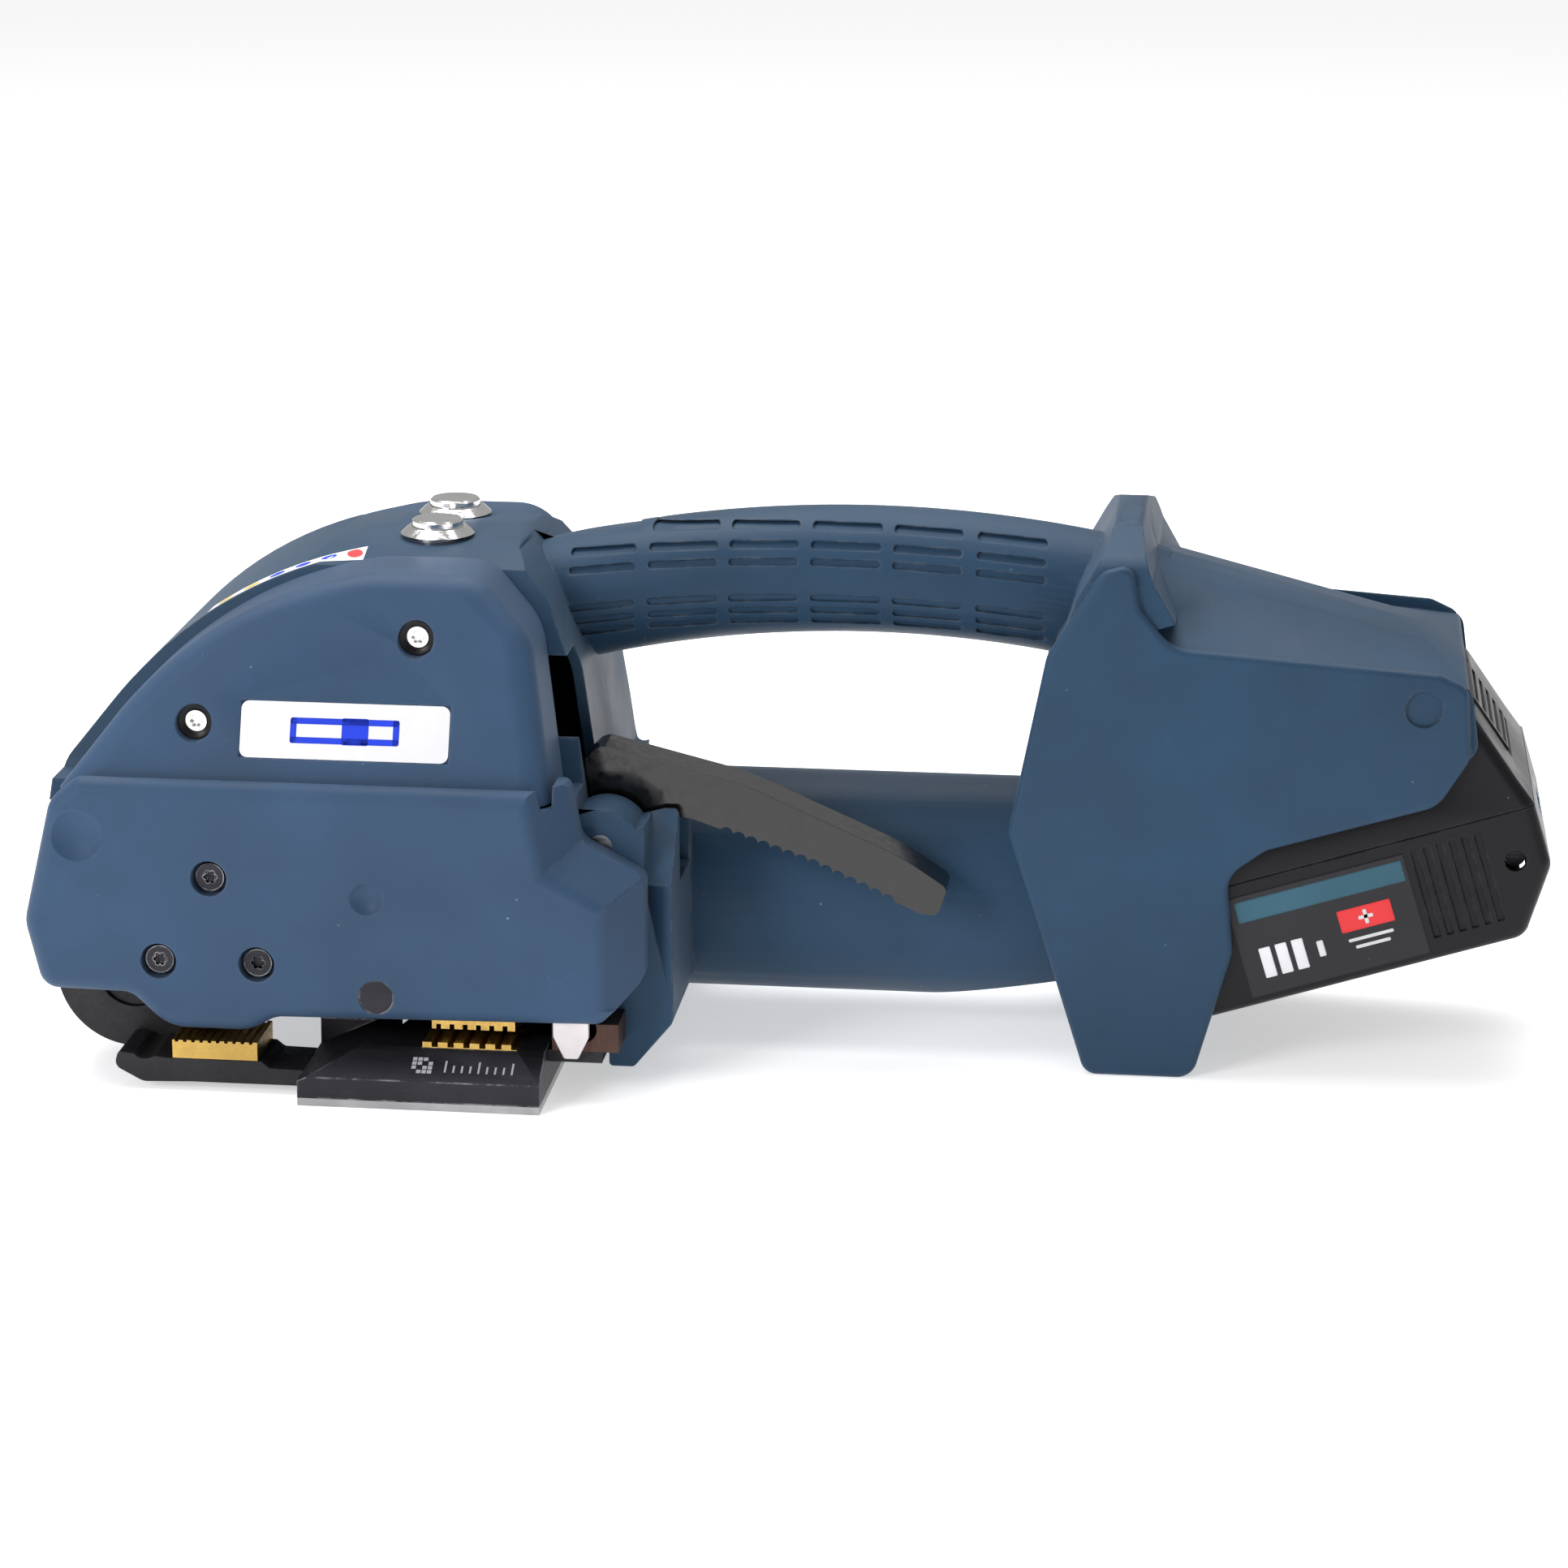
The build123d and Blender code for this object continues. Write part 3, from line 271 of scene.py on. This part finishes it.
BLUE = (0.018, 0.050, 0.096)
BLUE_COVER = (0.031, 0.067, 0.129)
FINISHES = {
    "blue_shell": moulded("blue_shell", BLUE, 0.5, depth=0.6, sheen=0.06),
    "blue_cover": moulded("blue_cover", BLUE_COVER, 0.52, depth=0.6, sheen=0.06),
    "black_plastic": moulded("black_plastic", (0.0065, 0.0065, 0.0085), 0.33, 1800.0, 0.4, 0.15, 0.12),
    "black_steel": metal("black_steel", (0.030, 0.029, 0.036), 0.42, worn_colour=(0.5, 0.5, 0.52),
                         wear=0.8, metallic=0.75),
    "cast_metal": metal("cast_metal", (0.022, 0.022, 0.025), 0.5, (900.0, 900.0, 900.0), 2.2,
                        metallic=0.5, spread=0.35),
    "steel": metal("steel", (0.42, 0.42, 0.43), 0.3),
    "frame_metal": metal("frame_metal", (0.5, 0.51, 0.52), 0.38),
    "bright_steel": metal("bright_steel", (0.86, 0.85, 0.84), 0.14, depth=0.15, spread=0.06),
    "tin_plate": metal("tin_plate", (0.62, 0.40, 0.11), 0.34, (1500.0, 300.0, 1500.0), 0.8,
                       worn_colour=(0.8, 0.6, 0.3), wear=0.5, spread=0.3),
    "tongue_metal": metal("tongue_metal", (0.66, 0.62, 0.63), 0.4, (700.0, 700.0, 700.0), 0.5,
                          metallic=0.55, spread=0.08),
    "bronze": metal("bronze", (0.085, 0.045, 0.035), 0.5, (1200.0, 1200.0, 200.0), 0.7, metallic=0.7),
    "lever_black": metal("lever_black", (0.004, 0.004, 0.0045), 0.16, (500.0, 500.0, 500.0), 0.08,
                         metallic=0.0, spread=0.1, specular=0.6),
    "nameplate_metal": metal("nameplate_metal", (0.74, 0.74, 0.77), 0.45, (1800.0, 1800.0, 1800.0), 0.6,
                             metallic=0.35, spread=0.05),
    "motor_can": metal("motor_can", (0.35, 0.35, 0.36), 0.4),
    "board_green": moulded("board_green", (0.02, 0.16, 0.07), 0.4),
    "cell_wrap": moulded("cell_wrap", (0.05, 0.25, 0.35), 0.3),
    "label_film": moulded("label_film", (0.022, 0.022, 0.026), 0.3, 3000.0, 0.3, 0.3, 0.0),
    "panel_plastic": moulded("panel_plastic", (0.07, 0.11, 0.2), 0.25, 2000.0, 0.2, 0.1, 0.1),
    "belt_rubber": moulded("belt_rubber", (0.02, 0.02, 0.02), 0.7),
}


def print_ink(name, colour, roughness=0.4):
    return moulded(name, colour, roughness, 2400.0, 0.3, 0.15, 0.0)


# ---- piece helpers ----
def body_of(node):
    return nodes[node]["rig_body"]


SLOTS = {row["node"]: row["material_slot"] for row in frame["record"]["subparts"]}
# main_frame is shown near-black (cast_metal) in place of its light frame_metal slot: painted shade in the
# gap under the lower cover, behind the rocker, where its foot shows
DARK_NODES = {"main_frame": "cast_metal", "battery_screw": "black_steel", "weld_arm": "cast_metal"}


def finish_piece(name, mesh_data, material, body, smooth=35.0):
    """Makes the mesh an object with its finish and lets it ride."""
    mesh = bpy.data.meshes.new(name)
    mesh_data.to_mesh(mesh)
    mesh_data.free()
    piece = bpy.data.objects.new(name, mesh)
    bpy.context.scene.collection.objects.link(piece)
    mesh.materials.append(material)
    mesh.shade_smooth()
    mesh.set_sharp_from_angle(angle=radians(smooth))
    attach(piece, body)
    return piece


def soft_copy(node, width):
    """A merged copy of a CAD node whose edges are rounded as the mould leaves them."""
    sharp = 32.0                                 # degrees from which an edge is rounded
    source = bmesh.new()
    source.from_mesh(nodes[node].data)
    bmesh.ops.remove_doubles(source, verts=source.verts, dist=1e-6)
    bmesh.ops.dissolve_limit(source, angle_limit=radians(0.5), verts=source.verts, edges=source.edges)
    piece = finish_piece(node + "_skin", source, FINISHES[SLOTS[node]], body_of(node), sharp)
    bevel = piece.modifiers.new("rounded_edges", "BEVEL")
    bevel.width = width
    bevel.segments = 3
    bevel.limit_method = "ANGLE"
    bevel.angle_limit = radians(sharp)
    bevel.harden_normals = True
    bevel.miter_outer = "MITER_ARC"
    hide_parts(node)


# ---- carried-over nodes ----
for node, part in nodes.items():
    part.data.materials.clear()
    part.data.materials.append(FINISHES[DARK_NODES.get(node, SLOTS[node])])

SOFT_NODES = {                                   # width of each node's rounded edges, mm
    "near_shell": 0.7, "far_shell": 0.7, "near_upper_cover": 0.5,
    "far_cover": 0.9, "battery_upper_case": 0.8, "battery_latch": 0.5,
    "base_block": 0.5, "front_arm": 0.7, "guide_block": 0.3, "strap_tongue": 0.3, "nameplate": 0.12,
    "tension_tooth_plate": 0.12, "weld_tooth_plate": 0.1, "rocker_arm": 0.5, "release_lever": 0.5,
    "wear_plate": 0.15}
for node, width in SOFT_NODES.items():
    soft_copy(node, width * MM)


# ---- printed and pressed details ----
INKS = {
    "ink_blue": print_ink("ink_blue", (0.012, 0.045, 0.62)),
    "ink_teal": print_ink("ink_teal", (0.035, 0.105, 0.150)),
    "ink_red": print_ink("ink_red", (0.78, 0.045, 0.05)),
    "ink_white": print_ink("ink_white", (0.72, 0.72, 0.75)),
    "ink_yellow": print_ink("ink_yellow", (0.75, 0.50, 0.02)),
    "etch_grey": print_ink("etch_grey", (0.42, 0.42, 0.45)),
    "sticker_white": print_ink("sticker_white", (0.80, 0.80, 0.80))}


def tile(name, centre, across, up, width, height, thickness, round_by, material, body):
    """A thin printed patch, a rounded rectangle, lying on a face."""
    shape = bmesh.new()
    bmesh.ops.create_grid(shape, x_segments=1, y_segments=1, size=0.5)
    bmesh.ops.scale(shape, vec=(width, height, 1.0), verts=shape.verts)
    bmesh.ops.bevel(shape, geom=shape.verts[:], offset=round_by, segments=4, profile=0.5,
                    affect="VERTICES", material=-1)
    faces = bmesh.ops.extrude_face_region(shape, geom=shape.faces[:])["geom"]
    top = [item for item in faces if isinstance(item, bmesh.types.BMVert)]
    bmesh.ops.translate(shape, vec=(0.0, 0.0, thickness), verts=top)
    bmesh.ops.recalc_face_normals(shape, faces=shape.faces)
    across = Vector(across).normalized()
    out = across.cross(Vector(up)).normalized()
    turn = Matrix((across, out.cross(across), out)).transposed().to_4x4()
    bmesh.ops.transform(shape, matrix=Matrix.Translation(centre) @ turn, verts=shape.verts)
    finish_piece(name, shape, material, body)


def make_nameplate_mark():
    """A strap loop with its seal, as a plain emblem."""
    low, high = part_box("nameplate")
    middle = (low + high) / 2
    face = middle + LEAN * 0.26 * MM
    up = Vector((0.0, LEAN.z, -LEAN.y))
    for index, (x, z, width, height) in enumerate((
            (0.0, 2.3, 26.0, 1.5), (0.0, -2.3, 26.0, 1.5), (-12.3, 0.0, 1.5, 6.0), (12.3, 0.0, 1.5, 6.0),
            (2.5, 0.0, 6.4, 6.4))):
        place = face + Vector((x * MM, 0.0, 0.0)) + up * z * MM
        tile(f"nameplate_mark_{index}", place, (1, 0, 0), up, width * MM, height * MM, 0.05 * MM, 0.5 * MM,
             INKS["ink_blue"], body_of("nameplate"))


def slope_point(u, v, y):
    return SLOPE_X * u * MM + SLOPE_Z * v * MM + Vector((0.0, y, 0.0))


def make_label_print():
    """Stripe, colour box, charge bars and cell sign on the battery's label."""
    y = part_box("battery_label")[0].y
    body = body_of("battery_label")
    rows = [("stripe", 214.5, -18.0, 41.0, 5.2, "ink_teal"), ("box", 223.5, -26.6, 13.0, 5.6, "ink_red"),
            ("plus_bar", 223.5, -26.6, 3.6, 0.9, "ink_white"),
            ("plus_post", 223.5, -26.6, 0.9, 3.6, "ink_white"),
            ("cell_cap", 211.2, -31.6, 1.6, 4.0, "ink_white")]
    rows += [(f"charge_{step}", 198.0 + 4.0 * step, -31.6, 2.8, 7.6, "ink_white") for step in range(3)]
    rows += [(f"line_{step}", 223.5, -31.6 - 1.9 * step, 11.0 - 2.5 * step, 0.8, "ink_white")
             for step in range(2)]
    for index, (name, u, v, width, height, ink) in enumerate(rows):
        lift = (0.02 + 0.02 * (ink == "ink_white")) * MM
        tile("label_" + name, slope_point(u, v, y - lift), SLOPE_X, SLOPE_Z, width * MM, height * MM,
             0.04 * MM, 0.3 * MM, INKS[ink], body)


STICKER_START, STICKER_END = -59.5, -22.1        # along x, mm
STICKER_WIDTH = 6.4
STICKER_TOP_Y = -26.2                            # its higher end, from the middle plane, mm
STICKER_SWEEP = 5.0                              # how far forward its lower end comes, mm
DROP_HEIGHT = 0.2                                # flat shapes are laid down from here


def sticker_y(share):
    """Place across the tool at a share of the strip's length."""
    return MIDDLE_Y + STICKER_TOP_Y * MM - (1.0 - share) * STICKER_SWEEP * MM


def make_sticker():
    """Strip of plain coloured dots along the dome, laid down on the casing."""
    length = STICKER_END - STICKER_START
    strip = bmesh.new()
    bmesh.ops.create_grid(strip, x_segments=40, y_segments=4, size=0.5)
    bmesh.ops.scale(strip, vec=(length * MM, STICKER_WIDTH * MM, 1.0), verts=strip.verts)
    for vertex in strip.verts:
        share = vertex.co.x / (length * MM) + 0.5
        vertex.co.x += (STICKER_START + STICKER_END) / 2 * MM
        vertex.co.y += sticker_y(share)
        vertex.co.z = DROP_HEIGHT
    body = body_of("near_shell")
    strip_piece = finish_piece("dome_sticker", strip, INKS["sticker_white"], body)
    wrap_onto(strip_piece, nodes["near_shell"], 0.08 * MM)
    inks = ("ink_yellow", "ink_yellow", "ink_blue", "ink_blue", "ink_blue", "ink_red")
    for index, ink in enumerate(inks):
        share = (index + 0.6) / len(inks)
        dot = bmesh.new()
        bmesh.ops.create_circle(dot, cap_ends=True, segments=24, radius=1.9 * MM)
        x = (STICKER_START + length * share) * MM
        bmesh.ops.translate(dot, vec=(x, sticker_y(share), DROP_HEIGHT), verts=dot.verts)
        piece = finish_piece(f"sticker_dot_{index}", dot, INKS[ink], body)
        wrap_onto(piece, nodes["near_shell"], 0.14 * MM)


def wrap_onto(piece, target, lift):
    """Drops each point straight down onto the target's surface, then lifts it a little."""
    found = bmesh.new()
    found.from_mesh(target.data)
    tree = BVHTree.FromBMesh(found)
    found.free()
    for vertex in piece.data.vertices:
        hit, normal = tree.ray_cast(vertex.co, Vector((0.0, 0.0, -1.0)))[:2]
        if hit:
            vertex.co = hit + normal * lift
    piece.data.update()


COVER_SCREWS = ((-55.9, 87.7), (-3.8, 107.8))    # x and z of the upper cover's screws, mm
CUP_PROFILE = ((4.25, 1.75), (4.25, 2.7), (2.6, 2.7), (2.6, 2.45), (3.95, 1.75))  # radius, depth, mm


def make_screw_shade_cups():
    """Black sleeves in the recesses of the upper cover's screws: partly a black washer, partly painted shade
    in the recesses.
    """
    foot_y, foot_z = LEAN_FOOT
    for index, (x, z) in enumerate(COVER_SCREWS):
        face_y = MIDDLE_Y + foot_y * MM + LEAN_RUN / LEAN_RISE * (z - foot_z) * MM
        cup = bmesh.new()
        ring = [cup.verts.new((radius * MM, depth * MM, 0.0)) for radius, depth in CUP_PROFILE]
        edges = [cup.edges.new((ring[step], ring[(step + 1) % len(ring)])) for step in range(len(ring))]
        bmesh.ops.spin(cup, geom=ring + edges, cent=(0, 0, 0), axis=(0, 1, 0), angle=2 * pi, steps=40,
                       use_merge=True)
        bmesh.ops.remove_doubles(cup, verts=cup.verts, dist=1e-7)
        bmesh.ops.recalc_face_normals(cup, faces=cup.faces)
        bmesh.ops.translate(cup, vec=(x * MM, face_y, z * MM), verts=cup.verts)
        finish_piece(f"screw_shade_cup_{index}", cup, FINISHES["black_plastic"], body_of("near_upper_cover"))


def make_base_marks():
    """Etched plain patch and tick marks on the base's lead-in slope."""
    run, rise = 9.4, 5.4                         # of the lead-in slope, mm
    slope_foot, margin = 7.2, 3.2                # its lower edge, and the marks' distance from that, mm
    cell_pitch, tick_pitch = 1.3, 2.0
    up = Vector((0.0, run, rise)).normalized()
    out = Vector((0.0, -rise, run)).normalized()
    foot = Vector((0.0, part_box("base_block")[0].y, slope_foot * MM))
    for row in range(4):
        for column in range(4):
            if (row * 3 + column * 5) % 4 == 0:
                continue
            across = Vector(((-1.6 + cell_pitch * column) * MM, 0, 0))
            place = foot + across + up * (margin + cell_pitch * row) * MM
            tile(f"etched_cell_{row}_{column}", place + out * 0.01 * MM, (1, 0, 0), up, 1.05 * MM, 1.05 * MM,
                 0.02 * MM, 0.05 * MM, INKS["etch_grey"], body_of("base_block"))
    for step in range(9):
        tall = 3.6 if step % 4 == 0 else 2.2
        place = foot + Vector(((6.0 + tick_pitch * step) * MM, 0, 0)) + up * (margin + tall / 2) * MM
        tile(f"etched_tick_{step}", place + out * 0.01 * MM, (1, 0, 0), up, 0.45 * MM, tall * MM,
             0.02 * MM, 0.05 * MM, INKS["etch_grey"], body_of("base_block"))


make_nameplate_mark()
make_label_print()
make_sticker()
make_screw_shade_cups()
make_base_marks()


# ---- stage, light and camera ----
def make_stage():
    floor = bmesh.new()
    bmesh.ops.create_grid(floor, x_segments=2, y_segments=2, size=6.0)
    mesh = bpy.data.meshes.new("floor")
    floor.to_mesh(mesh)
    floor.free()
    plane = bpy.data.objects.new("floor", mesh)
    bpy.context.scene.collection.objects.link(plane)
    paper, _, shader = start_material("floor_paper", (0.93, 0.93, 0.94), 0.8)
    shader.inputs["Emission Color"].default_value = (1.0, 1.0, 1.0, 1.0)
    shader.inputs["Emission Strength"].default_value = 0.5
    mesh.materials.append(paper)


def area_light(name, place, target, size, power):
    data = bpy.data.lights.new(name, "AREA")
    data.shape = "RECTANGLE"
    data.size, data.size_y = size
    data.energy = power
    lamp = bpy.data.objects.new(name, data)
    lamp.location = place
    lamp.rotation_mode = "QUATERNION"
    lamp.rotation_quaternion = (Vector(target) - Vector(place)).to_track_quat("-Z", "Y")
    bpy.context.scene.collection.objects.link(lamp)


def make_lights():
    world = bpy.data.worlds.new("studio")
    world.use_nodes = True
    backdrop = world.node_tree.nodes["Background"]
    backdrop.inputs["Color"].default_value = (1.0, 1.0, 1.0, 1.0)
    backdrop.inputs["Strength"].default_value = 0.4
    bpy.context.scene.world = world
    area_light("top_softbox", (-0.1, 0.35, 1.2), (0.06, 0.05, 0.05), (1.3, 1.0), 19.0)
    area_light("front_softbox", (-0.9, -1.2, 0.7), (0.0, 0.0, 0.06), (0.6, 0.6), 13.0)
    bpy.context.scene.view_settings.view_transform = "Standard"


def make_camera():
    """Camera slightly above and to the right of square-on."""
    turn, lift, distance = radians(6.2), radians(15.5), 1.157
    roll = radians(0.3)
    target = Vector((0.0772, MIDDLE_Y, 0.0591))
    back = Vector((sin(turn) * cos(lift), -cos(turn) * cos(lift), sin(lift)))
    data = bpy.data.cameras.new("camera")
    data.sensor_width = 36.0
    data.lens = 106.8
    data.clip_start = 0.05
    camera = bpy.data.objects.new("camera", data)
    camera.location = target + back * distance
    camera.rotation_mode = "QUATERNION"
    camera.rotation_quaternion = ((-back).to_track_quat("-Z", "Y").to_matrix()
                                  @ Matrix.Rotation(roll, 3, "Z")).to_quaternion()
    bpy.context.scene.collection.objects.link(camera)
    bpy.context.scene.camera = camera


make_stage()
make_lights()
make_camera()
